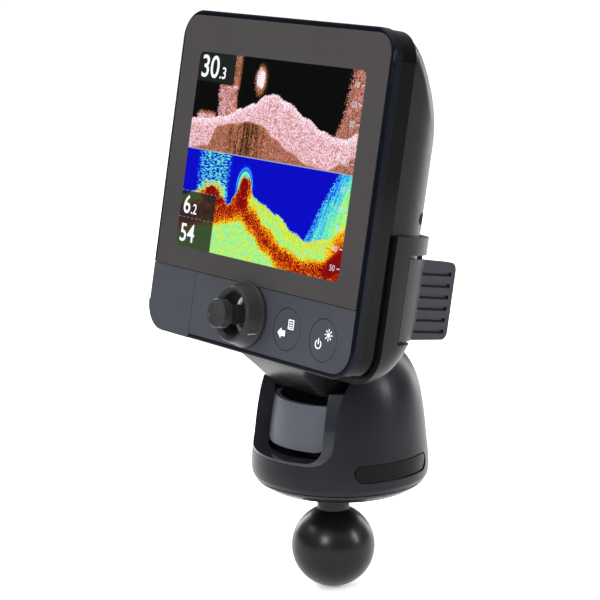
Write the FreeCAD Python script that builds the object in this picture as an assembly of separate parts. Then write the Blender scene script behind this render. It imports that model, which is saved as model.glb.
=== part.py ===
"""Fish finder display on a tilting quick-release cradle, a swivel dome and a mounting ball.

World frame: origin at the mounting ball's centre, +Z up, the screen faces -Y.
The display and its cradle are drawn in a display frame (x right, y into the case,
z up along the screen, origin at the screen's centre) and then leaned back by LEAN_DEG.
"""

import FreeCAD
import Part
import math
import os

V = FreeCAD.Vector
X_AXIS = V(1, 0, 0)
Y_AXIS = V(0, 1, 0)
Z_AXIS = V(0, 0, 1)

# Where the leaned display frame sits in the world frame
LEAN_DEG = 9.8
DISPLAY_ORIGIN = V(0, -37.316, 179.243)

# Display case outline in the display frame
CASE_HALF_W = 74.4
CASE_TOP = 62.5
CASE_BOTTOM = -84.0
CASE_CORNER_R = 13.0
BEZEL_DEPTH = 4.6
BAND_REAR = 12.3
CASE_WALL = 2.6
SCREW_X = 66.0
SCREW_ZS = (-14.0, 42.0)
SCREW_R = 1.4
SCREW_HEAD_R = 2.6
SCREW_SEAT = 20.0
# Rear body as (depth, inset from the outline, lower corner radius, upper corner radius)
CASE_SECTIONS = [
    (BAND_REAR, 1.0, 12.5, 15),
    (22, 2.2, 15, 24),
    (30, 5.5, 18, 32),
    (37, 11, 20, 34),
    (42, 18, 21, 34),
    (45, 28, 20, 30),
]

# Front face
GLASS_HALF_W = 72.2
GLASS_TOP = 60.2
SEAM_Z = -53.6
GLASS_INSET = CASE_HALF_W - GLASS_HALF_W
GLASS_FRONT = -0.3
GLASS_DEPTH = 1.8
GLASS_CORNER_R = 8.8
GLASS_FIT = 0.15
PANEL_DEPTH = 2.2
WINDOW_HALF_W = 60.0
WINDOW_HALF_H = 45.4
DOOR_RIGHT = -40.9
SEAM_GAP = 0.3
DOOR_PIVOT_X = -73.3
DOOR_PIVOT_Y = 1.1
DOOR_PIN_R = 0.5
PIN_FIT = 0.05

# Inside the case, as depths behind the front face
LCD_FRONT = 4.8
LCD_HALF_W = 62.0
LCD_HALF_H = 47.5
BACKLIGHT_FRONT = 7.8
CHASSIS_FRONT = 9.4
CHASSIS_REAR = 10.6
BOARD_FRONT = 14.6
BOARD_REAR = 16.2
BOARD_HALF_W = 60.0
BOARD_Z = (-48.0, 50.0)
BOARD_HOLE_X = 54.0
BOARD_HOLE_ZS = (-42.0, 44.0)
POST_R = 3.2
BOARD_SCREW_R = 1.15
KEY_BOARD_FRONT = 8.2
SWITCH_HEIGHT = 2.5
READER_FRONT = 5.4
DOCK_HALF_W = 12.0
DOCK_Y = (20.0, 31.0)

# Controls
KNOB_Z = -67.0
KNOB_BASE_R = 14.4
KNOB_RIM_R = 12.3
KNOB_OPENING_R = 9.7
KNOB_FRONT = -9.0
KNOB_HUB_R = 12.4
BEARING_R = 10.9
STICK_CAP_R = 6.35
STICK_FRONT = -17.0
STICK_R = 2.0
GIMBAL_Y = 3.0
GIMBAL_PIN_R = 0.6
BUTTON_R = 9.0
BUTTON_GAP = 0.25
BUTTON_FRONT = -0.1
BUTTON_STEM_R = 2.4
BACK_BUTTON = (28.9, -68.6)
POWER_BUTTON = (53.8, -69.1)

# Cradle
CRADLE_TOP = -21.5
CRADLE_FRONT = 13.4
CRADLE_GAP = 0.5
CRADLE_WALL = 2.6
TAB_GAP = 1.7
TAB_TOP = -30.6
TAB_BOTTOM = -65.3
TAB_FRONT = 22.5
TAB_REAR = 36.5
TAB_INNER_X = 58.0
TAB_SEAM = 0.3
SLIT_HEIGHT = 1.6
PADDLE_ROOT = (69.5, 31.0)
PADDLE_END_Y = 57.7
PADDLE_CORNER_R = 3.6
PADDLE_SLANT_DEG = 7.0
PADDLE_THICKNESS = 3.4
PADDLE_TAPER = 0.7
GROOVE_COUNT = 6
GROOVE_PITCH = 4.92
GROOVE_MID_Z = -48.8
GROOVE_HALF_H = 0.95
GROOVE_DEPTH = 1.0
GROOVE_END_GAP = 2.6
CABLE_Z = -49.0
CABLE_R = 4.0
CABLE_BODY_R = 6.0
CABLE_REAR = 52.0

# Tilt joint and dome, in the world frame
DOME_Y = 3.8
PIVOT_Z = 60.0
PIVOT_R = 4.0
KNUCKLE_R = 10.5
NECK_HALF_W = 17.0
ARM_HALF_W = 20.5
ARM_CORNER_R = 6.0
# Belly as (half width, (front, rear), height) in the display frame
ARM_SECTIONS = [
    (47, (15, 42), -78),
    (32, (15.5, 42), -84.5),
    (ARM_HALF_W + 4, (21, 48), -90),
    (ARM_HALF_W, (33, 50), -99),
]
NOTCH_HALF_W = 28.3
NOTCH_BOTTOM = 45.7
NOTCH_CORNER_R = 8.5
DOME_WALL = 3.0
BOSS_R = 9.5
BOSS_GAP = 1.0
PLATE_TURN_DEG = 92.0
PLATE_HALF_W = 20.5
PLATE_Z = (39.6, 46.6)
PLATE_RIM = 0.8
PLATE_INNER_R = 39.2
DOME_FLAT_TOP = 90.5
SLOT_REAR = 6.0
SLOT_BOTTOM = 66.0
TRIM_TOP = 78.0
TRIM_INNER_R = 30.1
CUP_INSET = 6.7
CUP_WALL = 2.0
CUP_HALF_W = 22.4
CUP_BOTTOM = 50.5
CUP_TOP = 71.0
# Dome as (radius, height), from its foot to its crown
DOME_PROFILE = [
    (38.6, 32.8),
    (39.9, 35),
    (40.3, 38),
    (40.2, 42),
    (39.2, 52),
    (38.1, 62),
    (36.9, 70),
    (34.9, 78.5),
    (29.1, 88.9),
    (20, 95.5),
    (0, 98.5),
]

# Base plate and ball
BALL_R = 19.05
BALL_CORE_R = 16.2
NECK_R = 7.4
BASE_BOTTOM = 26.3
BASE_TOP = 32.3
SPINDLE_R = 14.0
SPINDLE_TOP = 44.0
POCKET_R = 9.6
POCKET_FLOOR = 30.0
BOLT_R = 4.0
BOLT_HEAD_R = 7.0
RETAINER_R = 17.5
RETAINER_SCREW_R = 0.95
RETAINER_SCREW_CIRCLE = 11.9
# Plate as (radius, height), from its underside to its rim
BASE_PROFILE = [(0, BASE_BOTTOM), (22, BASE_BOTTOM), (32, 28.2), (37, 31.0), (38.3, BASE_TOP), (0, BASE_TOP)]


def placed(shape):
    """Move a shape from the display frame to the world frame."""
    moved = shape.copy()
    moved.rotate(V(0, 0, 0), X_AXIS, -LEAN_DEG)
    moved.translate(DISPLAY_ORIGIN)
    return moved


def export(shape, name):
    """Write one sub-part, which must be a valid solid or a group of solids."""
    if not shape.isValid() or not shape.Solids:
        raise ValueError("bad shape: " + name)
    shape.exportStep(os.path.join("parts", name + ".step"))


def box(x, y, z):
    """Box from three (low, high) pairs."""
    return Part.makeBox(x[1] - x[0], y[1] - y[0], z[1] - z[0], V(x[0], y[0], z[0]))


def rod(radius, start, end):
    """Round rod between two points."""
    along = end - start
    return Part.makeCylinder(radius, along.Length, start, along)


def tube(outer, inner, start, end):
    """Round tube between two points."""
    return rod(outer, start, end).cut(rod(inner, start, end))


def rounded_wire(x, z, y, radius, upper_radius=None):
    """Rounded rectangle in the plane of constant y, as four lines and four arcs."""
    edges = []
    corners = [(x[1], z[1], 0), (x[0], z[1], 90), (x[0], z[0], 180), (x[1], z[0], 270)]
    inward = {0: (-1, -1), 90: (1, -1), 180: (1, 1), 270: (-1, 1)}
    lower_radius = radius
    ends = []
    for cx, cz, start in corners:
        sx, sz = inward[start]
        radius = upper_radius if upper_radius and start < 180 else lower_radius
        centre = V(cx + sx * radius, y, cz + sz * radius)
        points = []
        for angle in (start, start + 45, start + 90):
            a = math.radians(angle)
            points.append(centre + V(math.cos(a), 0, math.sin(a)) * radius)
        ends.append(points)
    for index, points in enumerate(ends):
        edges.append(Part.Arc(*points).toShape())
        following = ends[(index + 1) % len(ends)][0]
        edges.append(Part.LineSegment(points[2], following).toShape())
    return Part.Wire(edges)


def rounded_plate(x, z, y, radius):
    """Rounded rectangular plate between two y values."""
    face = Part.Face(rounded_wire(x, z, y[0], radius))
    return face.extrude(V(0, y[1] - y[0], 0))


def case_plate(inset, y):
    """Plate with the case's outline, moved inwards by inset."""
    x = (-CASE_HALF_W + inset, CASE_HALF_W - inset)
    z = (CASE_BOTTOM + inset, CASE_TOP - inset)
    return rounded_plate(x, z, y, max(CASE_CORNER_R - inset, 1.0))


def case_loft(grow, front):
    """The rear case's rounded body, grown outwards all round, starting at y = front."""
    wires = []
    first_y = CASE_SECTIONS[0][0]
    last_y = CASE_SECTIONS[-1][0]
    for y, inset, radius, upper_radius in CASE_SECTIONS:
        x_edge = CASE_HALF_W - inset + grow
        z_range = (CASE_BOTTOM + inset - grow, CASE_TOP - inset + grow)
        depth = y + grow * (y - first_y) / (last_y - first_y)
        wires.append(rounded_wire((-x_edge, x_edge), z_range, depth, radius + grow, upper_radius + grow))
    body = Part.makeLoft(wires, True, False)
    if front > first_y:
        body = body.common(box((-200, 200), (front, 200), (-200, 200)))
    return body


def revolved(points, centre, axis):
    """Solid of revolution from (radius, height) points, placed at centre and turned to axis."""
    ring = [V(r, 0, h) for r, h in points]
    ring.append(ring[0])
    solid = Part.Face(Part.makePolygon(ring)).revolve(V(0, 0, 0), Z_AXIS, 360)
    turn = FreeCAD.Rotation(Z_AXIS, axis)
    solid.Placement = FreeCAD.Placement(centre, turn)
    return solid


def mirrored(shape):
    """Mirror image in the x = 0 plane."""
    return shape.mirror(V(0, 0, 0), X_AXIS)


# ---------- display ----------

def door_outline(grow):
    """Block over the card door's share of the front face, grown sideways."""
    x = (-CASE_HALF_W - 1, DOOR_RIGHT + grow)
    z = (CASE_BOTTOM - 1, SEAM_Z - SEAM_GAP + grow)
    return box(x, (-1, PANEL_DEPTH + grow), z)


def make_front_bezel():
    body = case_plate(0, (0, BEZEL_DEPTH))
    edges = [e for e in body.Edges if abs(e.CenterOfMass.y) < 0.01]
    body = body.makeFillet(0.9, edges)
    body = body.cut(glass_block(GLASS_FIT))
    body = body.cut(box((-WINDOW_HALF_W, WINDOW_HALF_W), (-1, 9), (-WINDOW_HALF_H, WINDOW_HALF_H)))
    body = body.cut(make_keypad_outline(GLASS_FIT))
    body = body.cut(door_outline(SEAM_GAP))
    for x, z in (BACK_BUTTON, POWER_BUTTON):
        body = body.cut(rod(BUTTON_R + 0.6, V(x, -1, z), V(x, 9, z)))
    body = body.cut(rod(KNOB_HUB_R + 0.7, V(0, -1, KNOB_Z), V(0, 9, KNOB_Z)))
    body = body.cut(box((-66, -47), (-1, 9), (-75, -61)))
    for x, z in screw_places():
        body = body.fuse(rod(2.9, V(x, BEZEL_DEPTH - 0.5, z), V(x, BAND_REAR - 0.3, z)))
        body = body.cut(rod(SCREW_R, V(x, BEZEL_DEPTH + 0.9, z), V(x, BAND_REAR, z)))
    return body.cut(rod(DOOR_PIN_R + PIN_FIT, hinge_point(SEAM_Z - 4), hinge_point(SEAM_Z + 3)))


def make_keypad_outline(grow):
    """Keypad panel's block: straight at the door and seam, rounded at the case's corner."""
    plate = case_plate(GLASS_INSET - grow, (-grow, PANEL_DEPTH + grow))
    x = (DOOR_RIGHT + SEAM_GAP - grow, CASE_HALF_W)
    keep = box(x, (-1, 9), (CASE_BOTTOM, SEAM_Z - SEAM_GAP + grow))
    return plate.common(keep)


def glass_block(grow):
    """Cover glass, grown all round: rounded at the top, square at the keypad's seam."""
    x = (-GLASS_HALF_W - grow, GLASS_HALF_W + grow)
    y = (GLASS_FRONT - grow, GLASS_DEPTH + grow)
    low = SEAM_Z - grow
    top = rounded_plate(x, (low, GLASS_TOP + grow), y, GLASS_CORNER_R + grow)
    return top.fuse(box(x, y, (low, 0))).removeSplitter()


def make_cover_glass():
    return glass_block(0)


def make_keypad_panel():
    panel = make_keypad_outline(0)
    for x, z in (BACK_BUTTON, POWER_BUTTON):
        panel = panel.cut(rod(BUTTON_R + BUTTON_GAP, V(x, -1, z), V(x, 9, z)))
    return panel.cut(rod(KNOB_HUB_R + 0.5, V(0, -1, KNOB_Z), V(0, 9, KNOB_Z)))


def hinge_point(z):
    """Point on the card door's hinge line."""
    return V(DOOR_PIVOT_X, DOOR_PIVOT_Y, z)


def make_card_door():
    plate = case_plate(0.1, (0, PANEL_DEPTH)).common(door_outline(0))
    cut_x = (-CASE_HALF_W - 1, DOOR_PIVOT_X)
    corner_z = CASE_BOTTOM + CASE_CORNER_R
    upper = box(cut_x, (-1, 9), (corner_z, SEAM_Z))
    lower = box(cut_x, (DOOR_PIVOT_Y, 9), (CASE_BOTTOM - 1, corner_z))
    barrel = rod(DOOR_PIVOT_Y, hinge_point(corner_z), hinge_point(SEAM_Z - SEAM_GAP))
    door = plate.cut(upper).cut(lower).fuse(barrel).removeSplitter()
    return door.cut(rod(DOOR_PIN_R, hinge_point(corner_z + 2), hinge_point(SEAM_Z)))


def make_door_pin():
    low = CASE_BOTTOM + CASE_CORNER_R + 2
    return rod(DOOR_PIN_R, hinge_point(low), hinge_point(SEAM_Z + 2.5))


def make_mid_band():
    inset = 0.5
    wall = 3.4
    return case_plate(inset, (BEZEL_DEPTH, BAND_REAR)).cut(case_plate(inset + wall, (0, 20)))


def make_case_seal():
    return case_plate(4.1, (BEZEL_DEPTH, 6.4)).cut(case_plate(5.3, (0, 20)))


def make_rear_case():
    shell = case_loft(0, 0).cut(case_loft(-CASE_WALL, 0))
    shell = shell.cut(case_plate(CASE_WALL + 1.0, (0, 14)))
    solid = case_loft(0, 0)
    for x, z in screw_places():
        boss = rod(3.6, V(x, BAND_REAR, z), V(x, 60, z)).common(solid)
        shell = shell.fuse(boss).cut(rod(SCREW_R + 0.1, V(x, 0, z), V(x, 60, z)))
        shell = shell.cut(rod(SCREW_HEAD_R + 0.2, V(x, SCREW_SEAT, z), V(x, 60, z)))
    return shell.cut(box((-DOCK_HALF_W, DOCK_HALF_W), DOCK_Y, (CASE_BOTTOM - 1, CASE_BOTTOM + 18)))


def make_docking_socket():
    low = CASE_BOTTOM + 6.5
    body = box((-DOCK_HALF_W + 0.2, DOCK_HALF_W - 0.2), (DOCK_Y[0] + 0.2, DOCK_Y[1] - 0.2), (low, low + 11))
    mouth_x = (-DOCK_HALF_W + 2.4, DOCK_HALF_W - 2.4)
    mouth = box(mouth_x, (DOCK_Y[0] + 1.6, DOCK_Y[1] - 1.6), (low - 1, low + 7.5))
    return body.cut(mouth)


def make_lcd_panel():
    return box((-LCD_HALF_W, LCD_HALF_W), (LCD_FRONT, BACKLIGHT_FRONT), (-LCD_HALF_H, LCD_HALF_H))


def make_backlight():
    x = (-LCD_HALF_W + 1, LCD_HALF_W - 1)
    return box(x, (BACKLIGHT_FRONT, CHASSIS_FRONT), (-LCD_HALF_H + 1, LCD_HALF_H - 1))


def make_chassis():
    return box((-LCD_HALF_W, LCD_HALF_W), (CHASSIS_FRONT, CHASSIS_REAR), (BOARD_Z[0] - 2, BOARD_Z[1] + 4))


def board_places():
    """Centres of the board's posts and screws, as (x, z)."""
    return [(x, z) for x in (-BOARD_HOLE_X, BOARD_HOLE_X) for z in BOARD_HOLE_ZS]


def make_main_board():
    board = box((-BOARD_HALF_W, BOARD_HALF_W), (BOARD_FRONT, BOARD_REAR), BOARD_Z)
    for x, z in board_places():
        board = board.cut(rod(BOARD_SCREW_R + 0.55, V(x, CHASSIS_REAR, z), V(x, BOARD_REAR + 1, z)))
    return board


def make_board_posts():
    posts = []
    for x, z in board_places():
        posts.append(tube(POST_R, BOARD_SCREW_R + PIN_FIT, V(x, CHASSIS_REAR, z), V(x, BOARD_FRONT, z)))
    return Part.makeCompound(posts)


def make_board_screws():
    screws = []
    for x, z in board_places():
        head = rod(2.6, V(x, BOARD_REAR, z), V(x, BOARD_REAR + 1.6, z))
        shank = rod(BOARD_SCREW_R, V(x, CHASSIS_REAR + 0.6, z), V(x, BOARD_REAR + 0.1, z))
        screws.append(head.fuse(shank))
    return Part.makeCompound(screws)


def make_board_chips():
    processor = box((-14, 8), (BOARD_REAR, BOARD_REAR + 2.4), (-6, 16))
    memory = box((18, 30), (BOARD_REAR, BOARD_REAR + 1.4), (-4, 14))
    transformer = box((-40, -24), (BOARD_REAR, BOARD_REAR + 7.8), (-34, -14))
    power_stage = box((16, 40), (BOARD_REAR, BOARD_REAR + 5.8), (-38, -20))
    return Part.makeCompound([processor, memory, transformer, power_stage])


def make_gps_antenna():
    return box((-12.5, 12.5), (BOARD_REAR, BOARD_REAR + 4.8), (25, 46))


def make_keypad_board():
    return box((-37, 64), (KEY_BOARD_FRONT, KEY_BOARD_FRONT + 1.2), (-78.5, -55))


def make_button_switches():
    switches = []
    for x, z in (BACK_BUTTON, POWER_BUTTON):
        switches.append(rod(3.2, V(x, KEY_BOARD_FRONT - SWITCH_HEIGHT, z), V(x, KEY_BOARD_FRONT, z)))
    return Part.makeCompound(switches)


def make_card_reader():
    body = box((-64, -48.5), (READER_FRONT, 20), (-72, -64.5))
    return body.cut(box((-62.5, -50), (READER_FRONT - 1, 18), (-69.2, -67.8)))


def make_button(x, z):
    rear = PANEL_DEPTH + 0.4
    cap = rod(BUTTON_R, V(x, BUTTON_FRONT, z), V(x, rear, z))
    cap = cap.makeFillet(0.4, [e for e in cap.Edges if abs(e.CenterOfMass.y - BUTTON_FRONT) < 0.01])
    return cap.fuse(rod(BUTTON_STEM_R, V(x, rear, z), V(x, rear + 2.2, z))).removeSplitter()


def make_knob_bearing():
    start = V(0, 1.2, KNOB_Z)
    bearing = tube(BEARING_R, 8.4, start, V(0, 8.2, KNOB_Z))
    return bearing.cut(rod(GIMBAL_PIN_R + PIN_FIT, V(-9.6, GIMBAL_Y, KNOB_Z), V(9.6, GIMBAL_Y, KNOB_Z)))


def make_rotary_knob():
    bore = BEARING_R + PIN_FIT
    outer = [(KNOB_OPENING_R, KNOB_FRONT + 1.3), (KNOB_OPENING_R + 1.0, KNOB_FRONT)]
    outer += [(KNOB_RIM_R - 0.6, KNOB_FRONT), (KNOB_RIM_R, KNOB_FRONT + 0.7), (KNOB_BASE_R - 0.5, -2.6)]
    outer += [(KNOB_BASE_R, -1.6), (KNOB_BASE_R, -0.3), (KNOB_HUB_R, -0.3), (KNOB_HUB_R, 4.3)]
    outer += [(bore, 4.3), (bore, 0.9), (KNOB_OPENING_R, 0.9)]
    return revolved(outer, V(0, 0, KNOB_Z), Y_AXIS)


def make_stick_gimbal():
    ring = tube(7.4, 5.0, V(0, GIMBAL_Y - 1.6, KNOB_Z), V(0, GIMBAL_Y + 1.6, KNOB_Z))
    for side in (-1, 1):
        pin = rod(GIMBAL_PIN_R, V(side * 6.6, GIMBAL_Y, KNOB_Z), V(side * 9.3, GIMBAL_Y, KNOB_Z))
        ring = ring.fuse(pin)
    return ring.cut(rod(GIMBAL_PIN_R + PIN_FIT, V(0, GIMBAL_Y, KNOB_Z - 8), V(0, GIMBAL_Y, KNOB_Z + 8)))


def make_stick_shaft():
    hub = rod(3.6, V(0, GIMBAL_Y - 1.4, KNOB_Z), V(0, GIMBAL_Y + 1.6, KNOB_Z))
    shaft = rod(STICK_R, V(0, GIMBAL_Y, KNOB_Z), V(0, STICK_FRONT + 4.4, KNOB_Z))
    pins = rod(GIMBAL_PIN_R, V(0, GIMBAL_Y, KNOB_Z - 7.0), V(0, GIMBAL_Y, KNOB_Z + 7.0))
    return hub.fuse([shaft, pins]).removeSplitter()


def make_stick_cap():
    bore = STICK_R + PIN_FIT
    front = STICK_FRONT
    outer = [(0, front + 0.7), (4.6, front + 0.5), (5.1, front), (5.9, front), (STICK_CAP_R, front + 0.5)]
    outer += [(STICK_CAP_R, front + 4.6), (5.6, front + 5.6), (4.4, front + 6.0), (4.4, -1.6)]
    outer += [(bore, -1.6), (bore, front + 3.4), (0, front + 3.4)]
    return revolved(outer, V(0, 0, KNOB_Z), Y_AXIS)


def screw_places():
    """Centres of the case screws, as (x, z)."""
    return [(x, z) for x in (-SCREW_X, SCREW_X) for z in SCREW_ZS]


def make_case_screws():
    screws = []
    for x, z in screw_places():
        head = rod(SCREW_HEAD_R, V(x, SCREW_SEAT, z), V(x, SCREW_SEAT + 1.8, z))
        shank = rod(SCREW_R, V(x, BEZEL_DEPTH + 0.9, z), V(x, SCREW_SEAT, z))
        screws.append(head.fuse(shank).removeSplitter())
    return Part.makeCompound(screws)


# ---------- cradle ----------

def window_block(grow, front):
    """Space of a side latch tab behind y = front, grown up and down."""
    return box((TAB_INNER_X - grow, 90), (front, 70), (TAB_BOTTOM - grow, TAB_TOP + grow))


def make_cradle_shell():
    below = box((-200, 200), (CRADLE_FRONT, 200), (-200, CRADLE_TOP))
    outer = case_loft(CRADLE_GAP + CRADLE_WALL, CRADLE_FRONT)
    shell = outer.cut(case_loft(CRADLE_GAP, 0)).common(below)
    window = window_block(SLIT_HEIGHT, TAB_FRONT - TAB_SEAM)
    shell = shell.cut(window).cut(mirrored(window))
    shell = shell.cut(make_docking_plug())
    return shell.cut(rod(CABLE_BODY_R + PIN_FIT, V(0, 40, CABLE_Z), V(0, 60, CABLE_Z)))


def make_groove(z, end):
    """Finger groove with a sloping lower side, running up to y = end."""
    face = PADDLE_THICKNESS
    floor = face - GROOVE_DEPTH
    outline = [V(face + 1, 0, z + GROOVE_HALF_H), V(floor, 0, z + GROOVE_HALF_H), V(floor, 0, z)]
    outline += [V(face, 0, z - GROOVE_HALF_H), V(face + 1, 0, z - GROOVE_HALF_H)]
    outline.append(outline[0])
    return Part.Face(Part.makePolygon(outline)).extrude(V(0, end, 0))


def make_release_paddle():
    wall = case_loft(CRADLE_GAP + CRADLE_WALL, CRADLE_FRONT).cut(case_loft(TAB_GAP, 0))
    tab = wall.common(window_block(0, TAB_FRONT)).common(box((0, 90), (0, TAB_REAR), (-200, 200)))
    top = TAB_TOP
    bottom = TAB_BOTTOM
    end = PADDLE_END_Y
    root = PADDLE_ROOT[1] - 5
    side = [V(0, root, bottom), V(0, end, bottom + PADDLE_TAPER), V(0, end, top - PADDLE_TAPER)]
    side += [V(0, root, top), V(0, root, bottom)]
    plate = Part.Face(Part.makePolygon(side)).extrude(V(PADDLE_THICKNESS, 0, 0))
    rear_edges = [e for e in plate.Edges if abs(e.CenterOfMass.y - end) < 0.01]
    plate = plate.makeFillet(PADDLE_CORNER_R, [e for e in rear_edges if e.Length < PADDLE_THICKNESS + 0.1])
    for index in range(GROOVE_COUNT):
        z = GROOVE_MID_Z + (index - (GROOVE_COUNT - 1) / 2) * GROOVE_PITCH
        plate = plate.cut(make_groove(z, end - GROOVE_END_GAP))
    plate.translate(V(PADDLE_ROOT[0] - PADDLE_THICKNESS, 0, 0))
    plate.rotate(V(PADDLE_ROOT[0], PADDLE_ROOT[1], 0), Z_AXIS, PADDLE_SLANT_DEG)
    return tab.fuse(plate.cut(case_loft(TAB_GAP, 0))).removeSplitter()


def make_cable_inlet():
    z = CABLE_Z
    flange = rod(CABLE_BODY_R + 3, V(0, CABLE_REAR - 3.8, z), V(0, CABLE_REAR - 2.2, z))
    body = rod(CABLE_BODY_R, V(0, CABLE_REAR - 6.2, z), V(0, CABLE_REAR, z)).fuse(flange)
    return body.cut(rod(CABLE_R, V(0, 40, z), V(0, 60, z)))


def make_docking_plug():
    x = (-DOCK_HALF_W + 3.2, DOCK_HALF_W - 3.2)
    return box(x, (DOCK_Y[0] + 2.4, DOCK_Y[1] - 2.4), (CASE_BOTTOM - 1.5, CASE_BOTTOM + 12))


# ---------- tilt arm ----------

def pivot_point():
    """The tilt pivot in the display frame."""
    return FreeCAD.Rotation(X_AXIS, LEAN_DEG).multVec(V(0, DOME_Y, PIVOT_Z) - DISPLAY_ORIGIN)


def make_tilt_arm():
    pivot = pivot_point()
    wires = []
    for x, y, z in ARM_SECTIONS:
        flat = rounded_wire((-x, x), y, 0, ARM_CORNER_R)
        flat.rotate(V(0, 0, 0), X_AXIS, -90)
        flat.translate(V(0, 0, z))
        wires.append(flat)
    belly = Part.makeLoft(wires, True, False)
    belly = belly.cut(case_loft(CRADLE_GAP + CRADLE_WALL, 0)).cut(make_docking_plug())
    neck_side = [V(0, 38, -98), V(0, 50, -98), V(0, pivot.y + 9, pivot.z + 5)]
    neck_side += [V(0, pivot.y - 9, pivot.z - 5), V(0, 38, -98)]
    neck = Part.Face(Part.makePolygon(neck_side)).extrude(V(2 * NECK_HALF_W, 0, 0))
    neck.translate(V(-NECK_HALF_W, 0, 0))
    knuckle = rod(KNUCKLE_R, V(-NECK_HALF_W, pivot.y, pivot.z), V(NECK_HALF_W, pivot.y, pivot.z))
    arm = belly.fuse([neck, knuckle]).removeSplitter()
    return arm.cut(rod(PIVOT_R + PIN_FIT, V(-40, pivot.y, pivot.z), V(40, pivot.y, pivot.z)))


# ---------- dome, in the world frame ----------

def dome_solid(shrink):
    """Solid dome, with its wall moved inwards by shrink."""
    low = DOME_PROFILE[0]
    points = []
    for radius, height in DOME_PROFILE[1:]:
        drop = shrink if radius < 20 else shrink * 0.6
        points.append(V(max(radius - shrink, 0), 0, height - drop))
    foot = V(low[0] - shrink, 0, low[1])
    curve = Part.BSplineCurve()
    curve.interpolate(points)
    edges = [Part.LineSegment(foot, points[0]).toShape(), curve.toShape()]
    edges.append(Part.LineSegment(points[-1], V(0, 0, low[1])).toShape())
    edges.append(Part.LineSegment(V(0, 0, low[1]), foot).toShape())
    solid = Part.Face(Part.Wire(edges)).revolve(V(0, 0, 0), Z_AXIS, 360)
    solid.translate(V(0, DOME_Y, 0))
    return solid


def notch_block(half_w, bottom, radius, y):
    """U-shaped block, open upwards, between two y values."""
    return rounded_plate((-half_w, half_w), (bottom, 150), y, radius)


def make_dome_shell():
    shell = dome_solid(0).cut(dome_solid(DOME_WALL))
    floor = rod(37.6, V(0, DOME_Y, 35.2), V(0, DOME_Y, 43.4))
    shell = shell.fuse(floor)
    shell = shell.cut(rod(SPINDLE_R + PIN_FIT, V(0, DOME_Y, 30), V(0, DOME_Y, 60)))
    notch = notch_block(NOTCH_HALF_W, NOTCH_BOTTOM, NOTCH_CORNER_R, (-60, -10))
    slot = box((-NOTCH_HALF_W, NOTCH_HALF_W), (-12, SLOT_REAR), (SLOT_BOTTOM, 150))
    crown = box((-60, 60), (-60, 60), (DOME_FLAT_TOP, 150))
    shell = shell.cut([notch, slot, crown])
    inner_x = NECK_HALF_W + BOSS_GAP
    boss = rod(BOSS_R, V(inner_x, DOME_Y, PIVOT_Z), V(40, DOME_Y, PIVOT_Z))
    foot = box((inner_x, 36), (DOME_Y - BOSS_R, DOME_Y + BOSS_R), (40, PIVOT_Z))
    boss = boss.fuse(foot).common(dome_solid(0.5))
    shell = shell.fuse([boss, mirrored(boss)]).removeSplitter()
    shell = shell.cut(rod(PIVOT_R, V(-60, DOME_Y, PIVOT_Z), V(33, DOME_Y, PIVOT_Z)))
    shell = shell.cut(rod(6.0, V(-60, DOME_Y, PIVOT_Z), V(-36, DOME_Y, PIVOT_Z)))
    return shell.cut(plate_recess())


def plate_slab(grow):
    """Pill-shaped block that crosses the dome's right side."""
    z = (PLATE_Z[0] - grow, PLATE_Z[1] + grow)
    slab = rounded_plate((-PLATE_HALF_W - grow, PLATE_HALF_W + grow), z, (-60, 0), (z[1] - z[0]) / 2 - 0.1)
    slab.rotate(V(0, 0, 0), Z_AXIS, PLATE_TURN_DEG)
    slab.translate(V(0, DOME_Y, 0))
    return slab


def plate_recess():
    """Shallow pill-shaped recess round the dome's right side."""
    return plate_slab(PLATE_RIM).cut(rod(PLATE_INNER_R, V(0, DOME_Y, 30), V(0, DOME_Y, 60)))


def make_name_plate():
    """Blank plate in the dome's recess."""
    ring = tube(PLATE_INNER_R + 0.6, PLATE_INNER_R, V(0, DOME_Y, 30), V(0, DOME_Y, 60))
    return plate_slab(0).common(ring)


def make_tilt_pin():
    return rod(PIVOT_R, V(-35.5, DOME_Y, PIVOT_Z), V(33, DOME_Y, PIVOT_Z))


def make_pin_plug():
    plug = rod(5.9, V(-60, DOME_Y, PIVOT_Z), V(-36.1, DOME_Y, PIVOT_Z))
    return plug.common(dome_solid(0.3))


def make_tilt_washers():
    discs = []
    for side in (-1, 1):
        start = V(side * (NECK_HALF_W + 0.15), DOME_Y, PIVOT_Z)
        end = V(side * (NECK_HALF_W + BOSS_GAP - 0.1), DOME_Y, PIVOT_Z)
        discs.append(tube(BOSS_R - 0.5, PIVOT_R + PIN_FIT, start, end))
    return Part.makeCompound(discs)


def make_inner_cup():
    """Panel behind the notch, which follows the dome's slope."""
    cup = dome_solid(CUP_INSET).cut(dome_solid(CUP_INSET + CUP_WALL))
    cup = cup.common(box((-60, 60), (-60, 60), (BASE_TOP, CUP_TOP)))
    return cup.common(notch_block(CUP_HALF_W, CUP_BOTTOM, 6.5, (-60, -8)))


def make_notch_trim():
    outer = notch_block(NOTCH_HALF_W - 0.1, NOTCH_BOTTOM + 0.1, NOTCH_CORNER_R, (-60, -12))
    shell = dome_solid(0.2).common(outer).cut(dome_solid(CUP_INSET - 0.1))
    shell = shell.cut(rod(TRIM_INNER_R, V(0, DOME_Y, BASE_TOP), V(0, DOME_Y, 100)))
    front = rounded_wire((-NOTCH_HALF_W + 1.0, NOTCH_HALF_W - 1.0), (NOTCH_BOTTOM + 0.8, 150), -40, 7.5)
    rear = rounded_wire((-21.7, 21.7), (NOTCH_BOTTOM + 3.0, 150), -11, 6.0)
    opening = Part.makeLoft([front, rear], True, True)
    keep = box((-60, 60), (-60, 60), (30, TRIM_TOP))
    return shell.cut(opening).common(keep)


# ---------- base, in the world frame ----------

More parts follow.
